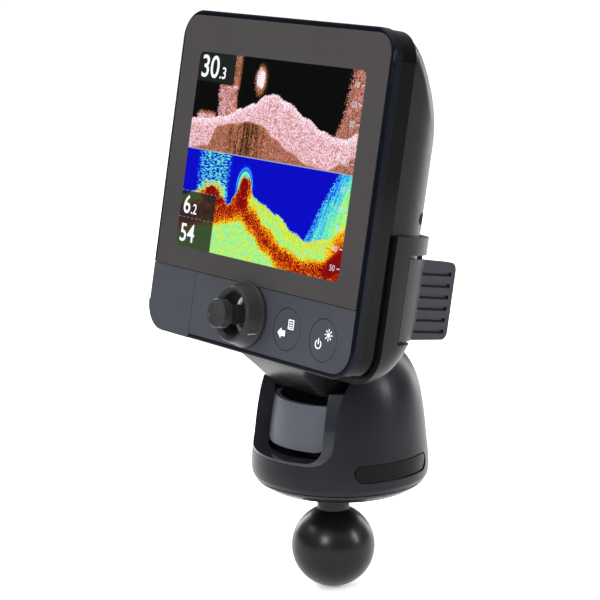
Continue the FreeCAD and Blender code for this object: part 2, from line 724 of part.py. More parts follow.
def make_ball_cover():
    ball = Part.makeSphere(BALL_R)
    ball = ball.cut(Part.makeSphere(BALL_CORE_R))
    return ball.cut(rod(NECK_R, V(0, 0, 0), V(0, 0, 30)))


def make_ball_core():
    neck = rod(NECK_R, V(0, 0, 0), V(0, 0, BASE_BOTTOM))
    core = Part.makeSphere(BALL_CORE_R).fuse(neck).removeSplitter()
    return core.cut(rod(BOLT_R, V(0, 0, 2), V(0, 0, 30)))


def retainer_screw_places():
    """Centres of the three retainer screws, at height 0."""
    places = []
    for angle in (0, 120, 240):
        a = math.radians(angle)
        places.append(V(math.cos(a), math.sin(a), 0) * RETAINER_SCREW_CIRCLE + V(0, DOME_Y, 0))
    return places


def make_base_plate():
    plate = revolved(BASE_PROFILE, V(0, DOME_Y, 0), Z_AXIS)
    spindle = rod(SPINDLE_R, V(0, DOME_Y, BASE_TOP - 1), V(0, DOME_Y, SPINDLE_TOP))
    plate = plate.fuse(spindle).removeSplitter()
    plate = plate.cut(rod(POCKET_R, V(0, DOME_Y, POCKET_FLOOR), V(0, DOME_Y, 60)))
    plate = plate.cut(rod(BOLT_HEAD_R + 1, V(0, 0, POCKET_FLOOR), V(0, 0, POCKET_FLOOR + 7.5)))
    for centre in retainer_screw_places():
        plate = plate.cut(rod(RETAINER_SCREW_R + PIN_FIT, centre + V(0, 0, 38), centre + V(0, 0, 60)))
    return plate.cut(rod(BOLT_R + 0.2, V(0, 0, 20), V(0, 0, 40)))


def make_ball_bolt():
    low = POCKET_FLOOR + 1.6
    shank = rod(BOLT_R, V(0, 0, 3), V(0, 0, low + 0.4))
    corners = []
    for corner in range(7):
        a = math.radians(60 * corner)
        corners.append(V(BOLT_HEAD_R * math.cos(a), BOLT_HEAD_R * math.sin(a), low))
    head = Part.Face(Part.makePolygon(corners)).extrude(V(0, 0, 5.0))
    return shank.fuse(head).removeSplitter()


def make_bolt_washer():
    return tube(BOLT_HEAD_R + 0.4, BOLT_R + 0.1, V(0, 0, POCKET_FLOOR), V(0, 0, POCKET_FLOOR + 1.6))


def make_swivel_washer():
    return tube(33, SPINDLE_R + 0.3, V(0, DOME_Y, BASE_TOP), V(0, DOME_Y, 35.0))


def make_retainer():
    ring = tube(RETAINER_R, POCKET_R, V(0, DOME_Y, SPINDLE_TOP), V(0, DOME_Y, SPINDLE_TOP + 2.0))
    for centre in retainer_screw_places():
        ring = ring.cut(rod(RETAINER_SCREW_R + 0.25, centre + V(0, 0, 38), centre + V(0, 0, 60)))
    return ring


def make_retainer_screws():
    screws = []
    top = SPINDLE_TOP + 2.0
    for centre in retainer_screw_places():
        shank = rod(RETAINER_SCREW_R, centre + V(0, 0, top - 7), centre + V(0, 0, top + 0.2))
        head = rod(2.1, centre + V(0, 0, top), centre + V(0, 0, top + 1.6))
        screws.append(shank.fuse(head).removeSplitter())
    return Part.makeCompound(screws)


def main():
    os.makedirs("parts", exist_ok=True)
    display = {
        "front_bezel": make_front_bezel(),
        "cover_glass": make_cover_glass(),
        "keypad_panel": make_keypad_panel(),
        "card_door": make_card_door(),
        "card_door_pin": make_door_pin(),
        "mid_band": make_mid_band(),
        "case_seal": make_case_seal(),
        "rear_case": make_rear_case(),
        "docking_socket": make_docking_socket(),
        "lcd_panel": make_lcd_panel(),
        "lcd_backlight": make_backlight(),
        "chassis_plate": make_chassis(),
        "main_board": make_main_board(),
        "board_posts": make_board_posts(),
        "board_screws": make_board_screws(),
        "board_chips": make_board_chips(),
        "gps_antenna": make_gps_antenna(),
        "keypad_board": make_keypad_board(),
        "button_switches": make_button_switches(),
        "card_reader": make_card_reader(),
        "back_button": make_button(*BACK_BUTTON),
        "power_button": make_button(*POWER_BUTTON),
        "knob_bearing": make_knob_bearing(),
        "rotary_knob": make_rotary_knob(),
        "case_screws": make_case_screws(),
        "stick_gimbal": make_stick_gimbal(),
        "stick_shaft": make_stick_shaft(),
        "stick_cap": make_stick_cap(),
        "cradle_shell": make_cradle_shell(),
        "right_release_paddle": make_release_paddle(),
        "left_release_paddle": mirrored(make_release_paddle()),
        "cable_inlet": make_cable_inlet(),
        "docking_plug": make_docking_plug(),
        "tilt_arm": make_tilt_arm(),
    }
    for name, shape in display.items():
        export(placed(shape), name)
    world = {
        "dome_shell": make_dome_shell(),
        "name_plate": make_name_plate(),
        "notch_trim": make_notch_trim(),
        "inner_cup": make_inner_cup(),
        "tilt_pin": make_tilt_pin(),
        "tilt_pin_plug": make_pin_plug(),
        "tilt_washers": make_tilt_washers(),
        "base_plate": make_base_plate(),
        "swivel_washer": make_swivel_washer(),
        "swivel_retainer": make_retainer(),
        "retainer_screws": make_retainer_screws(),
        "ball_core": make_ball_core(),
        "ball_cover": make_ball_cover(),
        "ball_bolt": make_ball_bolt(),
        "ball_bolt_washer": make_bolt_washer(),
    }
    for name, shape in world.items():
        export(shape, name)


main()
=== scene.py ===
"""Finishes, markings, screen picture and stage for the fish finder on its ball-mount dome."""

import math

import bmesh
import bpy
from mathutils import Matrix, Vector


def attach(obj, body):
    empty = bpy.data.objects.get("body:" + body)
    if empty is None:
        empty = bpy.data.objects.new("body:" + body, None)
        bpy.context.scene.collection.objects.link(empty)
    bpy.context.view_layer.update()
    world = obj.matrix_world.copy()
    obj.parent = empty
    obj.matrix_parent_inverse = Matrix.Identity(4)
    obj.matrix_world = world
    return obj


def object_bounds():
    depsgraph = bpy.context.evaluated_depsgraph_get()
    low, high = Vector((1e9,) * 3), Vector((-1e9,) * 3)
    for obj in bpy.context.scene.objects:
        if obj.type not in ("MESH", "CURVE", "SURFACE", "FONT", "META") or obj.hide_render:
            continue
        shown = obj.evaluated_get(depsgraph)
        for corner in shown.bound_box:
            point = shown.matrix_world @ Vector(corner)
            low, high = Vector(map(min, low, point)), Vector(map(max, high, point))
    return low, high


bl_info = {
    "name": "Fish finder finishes",
    "version": (1, 0, 0),
    "blender": (4, 5, 0),
    "location": "View3D > Sidebar > Fish finder",
    "description": "Gives a fish finder its screen, markings, materials and stage",
    "category": "Object",
}

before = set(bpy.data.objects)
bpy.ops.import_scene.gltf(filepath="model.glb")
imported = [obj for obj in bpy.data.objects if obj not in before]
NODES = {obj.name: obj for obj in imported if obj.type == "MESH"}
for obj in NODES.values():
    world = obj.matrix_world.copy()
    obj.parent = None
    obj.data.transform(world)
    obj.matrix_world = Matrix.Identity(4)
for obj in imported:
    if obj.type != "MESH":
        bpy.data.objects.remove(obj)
CAD_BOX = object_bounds()

MM = 0.001
LEAN = math.radians(9.8)
DISPLAY_ORIGIN = Vector((0, -37.316, 179.243)) * MM
DISPLAY = Matrix.Translation(DISPLAY_ORIGIN) @ Matrix.Rotation(-LEAN, 4, "X") @ Matrix.Scale(MM, 4)

# Display frame, in millimetres: x right, y into the case, z up along the screen
SCREEN_HALF_W = 58.75
SCREEN_HALF_H = 44.06
GLASS_FACE = -0.3
BUTTON_FACE = -0.1
BACK_KEY = (28.9, -68.6)
POWER_KEY = (53.8, -69.1)
KNOB_Z = -67.0
# Radius of the light grey line on the knob's side, which is a painted highlight
KNOB_HIGHLIGHT_R = 14.05

# Numbers on the screen, as (words, name, share of the readout size, place, boldness)
READOUTS = [
    ("30", "readout_depth", 1.0, (-56.8, 33.0), 0.12),
    (".3", "readout_depth_tenths", 0.52, (-42.4, 33.0), 0.08),
    ("6", "readout_speed", 0.82, (-56.6, -28.8), 0.1),
    (".2", "readout_speed_tenths", 0.46, (-50.6, -28.8), 0.06),
    ("54", "readout_temperature", 0.82, (-56.8, -41.6), 0.1),
]
SCALE_TOPS = {"upper": 42.0, "lower": -1.6}
SCALE_MARKS = 5
SCALE_STEP = 8.2
SCALE_X = 51.8
TICK_X = 57.6

# Screen layout, as shares of the screen's width and height
PANE_SPLIT = 0.507
DEPTH_BOX_RIGHT = 0.235
DEPTH_BOX_FOOT = 0.853
SPEED_BOX_RIGHT = 0.222
SPEED_BOX_TOP = 0.288

# Symbols on the keys, round their own centres
ARROW = [(-2.7, 0), (-0.3, 2.3), (-0.3, 1.2), (2.4, 1.2), (2.4, -1.2), (-0.3, -1.2), (-0.3, -2.3)]
PAGE_SIDES = [(0, 1.9, 3.8, 0), (0, -1.9, 3.8, 0), (-1.7, 0, 4.2, 90), (1.7, 0, 4.2, 90)]
PAGE_LINES = [0.8, -0.2, -1.1]
SUN_RAYS = 8
SUN_RAY_R = 1.95

# Stage: lights as (place, size, power), and the camera
LIGHT_AIM = Vector((0, -0.02, 0.13))
LIGHTS = {
    "key_light": ((-0.6, -0.85, 1.0), (0.6, 0.6), 6.0),
    "back_light": ((-0.25, 1.3, 0.45), (0.4, 1.0), 7.0),
    "left_light": ((-1.2, 0.1, 0.35), (0.3, 0.9), 7.0),
    "front_spot": ((0.55, -1.12, 0.63), (0.34, 0.34), 12.0),
    "right_strip": ((1.0, 0.64, 0.52), (0.1, 0.5), 9.0),
    "top_light": ((0.0, 0.1, 1.4), (1.4, 1.4), 12.0),
}
FLOOR_HALF = 12.0
FLOOR_GAP = 0.0005
CAMERA_PLACE = Vector((0.77669, -0.62441, 0.31173))
CAMERA_FORWARD = Vector((-0.77375, 0.60281, -0.19477))
CAMERA_UP = Vector((-0.15364, 0.11970, 0.98085))
CAMERA_LENS = 136.13

# Colours of the small and inner pieces
SEAL_BLACK = (0.02, 0.02, 0.02)
STUD_BLACK = (0.02, 0.02, 0.021)
ALLOY_BLACK = (0.09, 0.09, 0.1)
STEEL = (0.6, 0.6, 0.62)
CHIP_BLACK = (0.02, 0.02, 0.022)
ACETAL = (0.6, 0.6, 0.58)
CERAMIC = (0.7, 0.62, 0.5)


class Value:
    """A number socket that can be used in Python expressions."""

    def __init__(self, shader, socket):
        self.shader = shader
        self.socket = socket

    def math(self, operation, *others, clamp=False):
        return self.shader.math(operation, self, *others, clamp=clamp)

    def __add__(self, other):
        return self.math("ADD", other)

    def __radd__(self, other):
        return self.shader.math("ADD", other, self)

    def __sub__(self, other):
        return self.math("SUBTRACT", other)

    def __rsub__(self, other):
        return self.shader.math("SUBTRACT", other, self)

    def __mul__(self, other):
        return self.math("MULTIPLY", other)

    def __rmul__(self, other):
        return self.shader.math("MULTIPLY", other, self)

    def __truediv__(self, other):
        return self.math("DIVIDE", other)

    def over(self, edge, width):
        """0 below the edge and 1 above it, with a soft step of the given width."""
        return self.shader.step(self, edge, width)

    def within(self, low, high, width):
        """1 between two edges."""
        return self.over(low, width) * (1 - self.over(high, width))

    def clamped(self):
        """Held between 0 and 1."""
        return self.shader.math("ADD", self, 0.0, clamp=True)


class Shader:
    """Builds one material's nodes round a Principled BSDF."""

    def __init__(self, name):
        self.material = bpy.data.materials.new(name)
        self.material.use_nodes = True
        self.tree = self.material.node_tree
        self.surface = self.tree.nodes["Principled BSDF"]

    def node(self, kind, settings=None, inputs=None, stops=None):
        """Adds a node, sets it, gives it a ramp's stops, then its sockets' values or links."""
        made = self.tree.nodes.new(kind)
        for key, value in (settings or {}).items():
            setattr(made, key, value)
        if stops:
            elements = made.color_ramp.elements
            while len(elements) > 1:
                elements.remove(elements[-1])
            elements[0].position, elements[0].color = stops[0]
            for position, colour in stops[1:]:
                elements.new(position).color = colour
        for key, value in (inputs or {}).items():
            self.put(made.inputs[key], value)
        return made

    def put(self, socket, value):
        """Links a socket to another one, or sets its value."""
        if isinstance(value, Value):
            value = value.socket
        if isinstance(value, bpy.types.NodeSocket):
            self.tree.links.new(value, socket)
        else:
            socket.default_value = value

    def math(self, operation, *values, clamp=False):
        """One Math node on the values."""
        inputs = dict(enumerate(values))
        made = self.node("ShaderNodeMath", {"operation": operation, "use_clamp": clamp}, inputs)
        return Value(self, made.outputs[0])

    def step(self, value, edge, width):
        """0 below the edge and 1 above it, eased over twice the width."""
        low = edge - width
        high = edge + width
        inputs = {"Value": value, "From Min": low, "From Max": high}
        made = self.node("ShaderNodeMapRange", {"interpolation_type": "SMOOTHSTEP"}, inputs)
        return Value(self, made.outputs["Result"])

    def object_point(self):
        """The point in the piece's own coordinates, in metres."""
        return self.node("ShaderNodeTexCoord").outputs["Object"]

    def display_point(self):
        """The point in the display frame, in metres."""
        inputs = {"Vector": self.object_point(), "Location": DISPLAY_ORIGIN, "Rotation": (-LEAN, 0, 0)}
        return self.node("ShaderNodeMapping", {"vector_type": "TEXTURE"}, inputs).outputs["Vector"]

    def split(self, vector):
        made = self.node("ShaderNodeSeparateXYZ", None, {0: vector})
        return [Value(self, made.outputs[i]) for i in range(3)]

    def joined(self, x, y, z=0.0):
        return self.node("ShaderNodeCombineXYZ", None, {0: x, 1: y, 2: z}).outputs[0]

    def noise(self, vector, scale, detail=2.0, roughness=0.5):
        inputs = {"Vector": vector, "Scale": scale, "Detail": detail, "Roughness": roughness}
        return Value(self, self.node("ShaderNodeTexNoise", None, inputs).outputs["Fac"])

    def speckle(self, vector):
        made = self.node("ShaderNodeTexWhiteNoise", {"noise_dimensions": "3D"}, {"Vector": vector})
        return Value(self, made.outputs["Value"])

    def ramp(self, value, stops, interpolation="LINEAR"):
        made = self.node("ShaderNodeValToRGB", None, {"Fac": value}, stops)
        made.color_ramp.interpolation = interpolation
        return made.outputs["Color"]

    def curve(self, value, heights):
        """A height for each value, from (position, height) pairs."""
        stops = [(at, (h, h, h, 1)) for at, h in heights]
        made = self.node("ShaderNodeSeparateColor", None, {0: self.ramp(value, stops, "EASE")})
        return Value(self, made.outputs[0])

    def mix(self, factor, a, b):
        settings = {"data_type": "RGBA"}
        inputs = {"Factor": factor, 6: a, 7: b}
        return self.node("ShaderNodeMix", settings, inputs).outputs[2]

    def bump(self, height, strength, distance):
        inputs = {"Height": height, "Strength": strength, "Distance": distance}
        self.put(self.surface.inputs["Normal"], self.node("ShaderNodeBump", None, inputs).outputs[0])

    def set(self, **sockets):
        """Sets the surface's sockets, with underscores for the spaces in their names."""
        for key, value in sockets.items():
            self.put(self.surface.inputs[key.replace("_", " ")], value)
        return self.material


class WorldShader(Shader):
    """Builds a world's nodes round its Background."""

    def __init__(self, world):
        world.use_nodes = True
        self.tree = world.node_tree
        self.surface = self.tree.nodes["Background"]


def shaded(colour, factor):
    """A colour made darker or lighter, with its alpha."""
    return tuple(c * factor for c in colour[:3]) + (1.0,)


def moulded(name, colour, roughness, grain, coat=0.0):
    """Moulded plastic: fine pimpled grain, a faint cloudiness and handling marks in the gloss."""
    s = Shader(name)
    point = s.object_point()
    cloud = s.noise(point, 45.0, 3.0)
    smear = s.noise(point, 160.0, 4.0, 0.65)
    pimples = s.noise(point, 2600.0, 2.0)
    base = s.mix(cloud, shaded(colour, 0.86), shaded(colour, 1.16))
    s.bump(pimples, grain, 0.00008)
    s.set(Base_Color=base, Roughness=roughness - 0.05 + smear * 0.1, Specular_IOR_Level=0.13)
    return s.set(Coat_Weight=coat, Coat_Roughness=0.12)


def latch_plastic(tab, paddle):
    """Side latch: its tab in the cradle's plastic, its ribbed paddle bluer and darker."""
    s = Shader("latch_plastic")
    point = s.object_point()
    cloud = s.noise(point, 45.0, 3.0)
    smear = s.noise(point, 160.0, 4.0, 0.65)
    x, y, _ = s.split(s.display_point())
    reach = (s.math("ABSOLUTE", x) - 0.0672).over(0.0, 0.0006) * y.over(0.0345, 0.0008)
    tone = s.mix((reach + y.over(0.0385, 0.0005)).clamped(), shaded(tab, 1.0), shaded(paddle, 1.0))
    base = s.mix(cloud * 0.3, tone, shaded(paddle, 0.7))
    s.bump(s.noise(point, 2600.0, 2.0), 0.12, 0.00008)
    return s.set(Base_Color=base, Roughness=0.34 + smear * 0.1, Specular_IOR_Level=0.22)


def polished(name, colour, roughness, coat=0.08):
    """Polished plastic with very slight ripple and dust in the gloss."""
    s = Shader(name)
    point = s.object_point()
    dust = s.noise(point, 700.0, 5.0, 0.7)
    ripple = s.noise(point, 60.0, 1.0)
    base = s.mix(ripple, shaded(colour, 0.8), shaded(colour, 1.2))
    s.bump(ripple, 0.05, 0.0003)
    s.set(Base_Color=base, Roughness=roughness + dust.over(0.66, 0.08) * 0.12, Specular_IOR_Level=0.04)
    return s.set(Coat_Weight=coat, Coat_Roughness=0.05)


def rubber(name, colour):
    """Semi-gloss rubber with fine pores and scuffs."""
    s = Shader(name)
    point = s.object_point()
    pores = s.noise(point, 900.0, 4.0, 0.6)
    scuffs = s.noise(point, 110.0, 3.0, 0.7)
    base = s.mix(scuffs, shaded(colour, 0.8), shaded(colour, 1.5))
    s.bump(pores, 0.06, 0.0002)
    s.set(Base_Color=base, Roughness=0.3 + scuffs * 0.08, Specular_IOR_Level=0.14)
    return s.set(Coat_Weight=0.12, Coat_Roughness=0.22)


def metal(name, colour, roughness):
    """Metal brushed round its upright axis."""
    s = Shader(name)
    point = s.object_point()
    x, y, z = s.split(point)
    brushed = s.noise(s.joined(x * 60.0, y * 60.0, z * 2400.0), 1.0, 3.0)
    base = s.mix(brushed, shaded(colour, 0.85), shaded(colour, 1.1))
    s.bump(brushed, 0.08, 0.0001)
    return s.set(Base_Color=base, Metallic=1.0, Roughness=roughness - 0.06 + brushed * 0.12)


def circuit_board():
    """Green solder mask over a grid of tracks."""
    s = Shader("circuit_board")
    x, _, z = s.split(s.display_point())
    lines = s.math("SINE", x * 4200.0) * s.math("SINE", z * 1500.0)
    tracks = lines.over(0.35, 0.1)
    base = s.mix(tracks, (0.01, 0.1, 0.04, 1), (0.03, 0.22, 0.1, 1))
    s.bump(tracks, 0.2, 0.00005)
    return s.set(Base_Color=base, Roughness=0.35)


# Colours of the two pictures by echo strength, then outlines of what they show by height
JET = [
    (0.0, (0.0, 0.0, 0.56, 1)),
    (0.14, (0.0, 0.01, 0.72, 1)),
    (0.26, (0.02, 0.3, 0.95, 1)),
    (0.38, (0.1, 0.8, 0.75, 1)),
    (0.5, (0.25, 0.95, 0.12, 1)),
    (0.62, (0.85, 0.9, 0.01, 1)),
    (0.74, (0.95, 0.3, 0.0, 1)),
    (0.86, (0.7, 0.03, 0.0, 1)),
    (1.0, (0.22, 0.0, 0.0, 1)),
]
STRUCTURE = [
    (0.0, (0.0, 0.0, 0.0, 1)),
    (0.18, (0.03, 0.015, 0.006, 1)),
    (0.42, (0.42, 0.15, 0.055, 1)),
    (0.6, (0.68, 0.27, 0.27, 1)),
    (0.78, (0.9, 0.52, 0.66, 1)),
    (1.0, (1.0, 0.93, 0.97, 1)),
]
HILL = [(0, 0.31), (0.1, 0.33), (0.2, 0.37), (0.3, 0.47), (0.38, 0.54), (0.45, 0.64), (0.5, 0.66)]
HILL += [(0.58, 0.6), (0.7, 0.47), (0.8, 0.37), (0.88, 0.33), (0.93, 0.32), (1, 0.4)]
BEDROCK = [(0, 0.0), (0.12, 0.05), (0.17, 0.26), (0.25, 0.3), (0.28, 0.31), (0.36, 0.35), (0.44, 0.33)]
BEDROCK += [(0.53, 0.22), (0.62, 0.12), (0.74, 0.02), (0.85, 0.0), (0.93, 0.08), (1, 0.16)]
FLOOR = [(0, 0.52), (0.12, 0.6), (0.19, 0.66), (0.26, 0.56), (0.3, 0.5), (0.34, 0.62), (0.37, 0.8)]
FLOOR += [(0.41, 0.8), (0.45, 0.63), (0.5, 0.58), (0.6, 0.5), (0.72, 0.36), (0.79, 0.31), (0.9, 0.37)]
FLOOR += [(1, 0.46)]
ECHO = [(0, 0.3), (0.2, 0.4), (0.3, 0.45), (0.38, 0.5), (0.45, 0.4), (0.55, 0.24), (0.66, 0.1)]
ECHO += [(0.78, 0.03), (0.9, 0.06), (1, 0.2)]


def blob(u, t, centre, size):
    """Soft ellipse: 1 at its centre, 0 at its edge and beyond."""
    across = (u - centre[0]) / size[0]
    up = (t - centre[1]) / size[1]
    return (1 - (across * across + up * up)).clamped()


def structure_view(s, u, t, grains, streaks):
    """Upper picture: a pale hill over brown bedrock on black."""
    rough = (grains - 0.5) * 0.02
    depth = s.curve(u, HILL) - t
    hill = (depth + rough).over(0.0, 0.006)
    crest = 1 - depth.over(0.05, 0.05)
    rock = (s.curve(u, BEDROCK) - t + rough).over(0.0, 0.012)
    heart = blob(u, t, (0.4, 0.8), (0.03, 0.12))
    weed = blob(u + rough, t, (0.405, 0.78), (0.042, 0.19)) * (0.55 + heart)
    lean = u + t * 0.05
    stump = (lean + rough).within(0.185, 0.3, 0.006) * (t + rough).within(0.3, 0.69, 0.012)
    stalk = (u + rough).within(0.235, 0.278, 0.005) * t.over(0.66, 0.01)
    bush = (u + rough).within(0.035, 0.15, 0.01) * (t + grains * 0.06).within(0.3, 0.42, 0.01)
    edge = (u + rough * 2 - 0.915 - (t - 0.6) * 0.05).over(0.0, 0.008)
    slope = (u + rough - 0.87 - (t - 0.3) * 0.16).over(0.0, 0.008) * (1 - t.over(0.6, 0.03))
    loose = weed * 1.35 + stump * 0.62 + stalk * 0.42 + bush * 0.7 + (edge + slope).clamped() * 0.48
    loose = loose * (0.35 + grains * 1.1)
    ground = 0.42 + crest * 0.2 + grains * 0.6
    shade = streaks * u.within(0.26, 0.44, 0.04)
    brown = 0.2 + grains * 0.42 - shade * 0.3
    level = hill * (ground * (1 - rock) + rock * brown) + (1 - hill) * loose
    return s.ramp(level.clamped(), STRUCTURE)


def ringed(s, u, t, centre, size, rings):
    """Soft ellipse with faint rings inside its edge."""
    body = blob(u, t, centre, size)
    return body * (0.78 + s.math("SINE", body * rings) * 0.26)


def sonar_view(s, u, t, grains, streaks, ripples):
    """Lower picture: echo strength from blue water to a red sea floor."""
    rough = (grains - 0.5) * 0.024
    depth = s.curve(u, FLOOR) - t
    ground = (depth + rough).over(0.0, 0.01)
    echo_gap = (t - s.curve(u, ECHO)) / (0.17 - u * 0.05)
    echo = (1 - echo_gap * echo_gap).clamped() * ground
    arch = ringed(s, u, t, (0.385, 0.7), (0.06, 0.24), 22.0)
    arch = arch + ringed(s, u, t, (0.195, 0.6), (0.1, 0.13), 16.0)
    column = (u + rough).within(0.09, 0.28, 0.02) * t.over(0.45, 0.08) * (ripples * 0.85 + u * 0.6)
    fan = u - 0.735 - t * 0.13 - t * t * 0.07
    wedge = (fan + rough).over(0.0, 0.006) * (0.16 + streaks * 0.16 + fan * 1.9 + (grains - 0.5) * 0.24)
    corner = blob(u, t, (1.02, 0.05), (0.13, 0.5)) * 0.5
    bed = 0.52 + (grains - 0.5) * 0.34 + (1 - depth.over(0.1, 0.1)) * 0.06
    level = ground * bed + echo * 0.46 + corner
    water = (1 - ground) * (column * 0.5 + wedge.clamped())
    level = level + water + arch * 0.8 * (0.72 + grains * 0.45)
    return s.ramp((level + echo * (grains - 0.5) * 0.16).clamped(), JET)


def screen_glass():
    """Bonded front glass: a printed warm grey border round the lit picture."""
    s = Shader("screen_glass")
    point = s.display_point()
    x, y, z = s.split(point)
    half_w = SCREEN_HALF_W * MM
    half_h = SCREEN_HALF_H * MM
    u = (x + half_w) / (2 * half_w)
    v = (z + half_h) / (2 * half_h)
    cell = {"operation": "SNAP"}
    grain = (0.00042, 0.00042, 1.0)
    snapped = s.node("ShaderNodeVectorMath", cell, {0: s.joined(x, z), 1: grain}).outputs[0]
    grains = s.speckle(snapped) * 0.9 + s.noise(point, 260.0, 2.0) * 0.3 - 0.1
    slant = x - z * 0.32
    streaks = s.noise(s.joined(slant * 900.0, z * 60.0), 1.0, 3.0, 0.6).over(0.5, 0.16)
    columns = s.noise(s.joined(x * 480.0, z * 30.0), 1.0, 3.0, 0.6).over(0.52, 0.14)
    ripples = s.noise(s.joined(x * 420.0, z * 1500.0), 1.0, 2.0, 0.6).over(0.52, 0.08)
    upper = structure_view(s, u, (v - PANE_SPLIT) / (1 - PANE_SPLIT), grains, columns)
    lower = sonar_view(s, u, v / PANE_SPLIT, grains, streaks, ripples)
    picture = s.mix(v.over(PANE_SPLIT, 0.0005), lower, upper)
    picture = s.mix(v.within(0.504, 0.509, 0.0005), picture, (0.35, 0.4, 0.5, 1))
    box = u.within(-0.1, DEPTH_BOX_RIGHT, 0.002) * v.over(DEPTH_BOX_FOOT, 0.002)
    box = (box + u.within(-0.1, SPEED_BOX_RIGHT, 0.002) * (1 - v.over(SPEED_BOX_TOP, 0.002))).clamped()
    picture = s.mix(box * 0.93, picture, (0.01, 0.016, 0.015, 1))
    rules = v.within(0.286, 0.289, 0.001) + v.within(0.15, 0.153, 0.001)
    rule = u.within(0.0, SPEED_BOX_RIGHT, 0.002) * rules
    dashes = s.math("SINE", u * 240.0).over(0.0, 0.2)
    picture = s.mix(rule * dashes * 0.5, picture, (0.5, 0.55, 0.6, 1))
    corner = 0.0032
    reach_x = (s.math("ABSOLUTE", x) - (half_w - corner)).math("MAXIMUM", 0.0)
    reach_z = (s.math("ABSOLUTE", z) - (half_h - corner)).math("MAXIMUM", 0.0)
    reach = (reach_x * reach_x + reach_z * reach_z).math("SQRT")
    lit = (1 - reach.over(corner, 0.0001)) * (1 - y.over(0.0004, 0.0001))
    border = s.noise(s.object_point(), 30.0, 2.0)
    base = s.mix(border, (0.034, 0.031, 0.0315, 1), (0.041, 0.038, 0.0385, 1))
    base = s.mix(lit, base, (0.001, 0.001, 0.001, 1))
    glow = s.mix(lit, (0, 0, 0, 1), picture)
    dust = s.noise(s.object_point(), 500.0, 4.0, 0.7).over(0.68, 0.05)
    s.set(Base_Color=base, Roughness=0.16 + dust * 0.1, Specular_IOR_Level=0.06)
    return s.set(Emission_Color=glow, Emission_Strength=1.0)


def glowing(name, colour, strength):
    """Lit numbers and ticks on the screen."""
    s = Shader(name)
    flicker = s.noise(s.object_point(), 900.0, 1.0)
    tone = s.mix(flicker, shaded(colour, 0.92), shaded(colour, 1.0))
    return s.set(Base_Color=(0.02, 0.02, 0.02, 1), Emission_Color=tone, Emission_Strength=strength)


def printed(name, colour):
    """Printed mark with slight wear; also gives the knob's painted highlight line its light grey."""
    s = Shader(name)
    wear = s.noise(s.object_point(), 1500.0, 3.0)
    tone = s.mix(wear, shaded(colour, 0.85), shaded(colour, 1.0))
    return s.set(Base_Color=tone, Roughness=0.55)


FINISHES = {
    "satin_charcoal": ["rear_case", "cradle_shell", "tilt_pin_plug"],
    "dome_charcoal": ["dome_shell", "base_plate"],
    "belly_gloss": ["tilt_arm"],
    "gloss_black": ["front_bezel"],
    "trim_gloss": ["notch_trim"],
    "band_black": ["mid_band"],
    "name_plate_black": ["name_plate"],
    "keypad_grey": ["keypad_panel", "card_door", "back_button", "power_button"],
    "cup_grey": ["inner_cup"],
    "knob_charcoal": ["rotary_knob", "stick_cap"],
    "paddle_navy": ["right_release_paddle", "left_release_paddle"],
    "ball_rubber": ["ball_cover"],
    "seal_rubber": ["case_seal", "cable_inlet"],
    "dark_alloy": ["swivel_retainer", "stick_gimbal", "board_posts"],
    "coated_stud": ["ball_core"],
    "stainless": [
        "card_door_pin", "chassis_plate", "board_screws", "button_switches", "card_reader", "stick_shaft",
        "case_screws", "tilt_pin", "retainer_screws", "ball_bolt", "ball_bolt_washer",
    ],
    "circuit_board": ["main_board", "keypad_board"],
    "chip_black": ["board_chips", "docking_socket", "docking_plug", "lcd_panel"],
    "acetal_white": ["lcd_backlight", "knob_bearing", "tilt_washers", "swivel_washer"],
    "patch_ceramic": ["gps_antenna"],
    "screen_glass": ["cover_glass"],
}


def colour_property(name, description, default):
    """A colour that can be changed in the panel."""
    return bpy.props.FloatVectorProperty(
        name=name, description=description, default=default, subtype="COLOR", size=3, min=0.0, max=1.0
    )


class FinderColours(bpy.types.PropertyGroup):
    """Colours of the finishes."""

    case: colour_property("Case", "Satin plastic of the case and cradle", (0.0036, 0.0036, 0.0042))
    dome: colour_property("Dome", "Satin plastic of the swivel dome", (0.006, 0.0065, 0.0088))
    bezel: colour_property("Bezel", "Polished plastic of the front bezel", (0.002, 0.0028, 0.0055))
    band: colour_property("Band", "Polished band behind the bezel", (0.002, 0.0016, 0.0018))
    keypad: colour_property("Keypad", "Satin plastic of the keypad and card door", (0.029, 0.031, 0.0385))
    cup: colour_property("Cup", "Satin plastic of the panel in the notch", (0.062, 0.066, 0.08))
    knob: colour_property("Knob", "Satin plastic of the knob and thumb stick", (0.018, 0.018, 0.02))
    paddle: colour_property("Paddle", "Plastic of the release paddles", (0.006, 0.006, 0.012))
    ball: colour_property("Ball", "Rubber cover of the ball", (0.003, 0.003, 0.003))


def length_property(name, description, default):
    """A length in metres that can be changed in the panel."""
    return bpy.props.FloatProperty(
        name=name, description=description, default=default, min=0.00001, max=0.05, precision=5, unit="LENGTH"
    )


class FinderSizes(bpy.types.PropertyGroup):
    """Sizes of the markings."""

    mark_height: length_property("Mark height", "How far a printed mark stands out", 0.00006)
    readout_size: length_property("Readout size", "Height of the large readout numbers", 0.014)
    scale_size: length_property("Scale size", "Height of the depth scale numbers", 0.0036)


def colours():
    """The finish colours set in the panel."""
    return bpy.context.scene.finder_colours


def sizes():
    """The marking sizes set in the panel."""
    return bpy.context.scene.finder_sizes


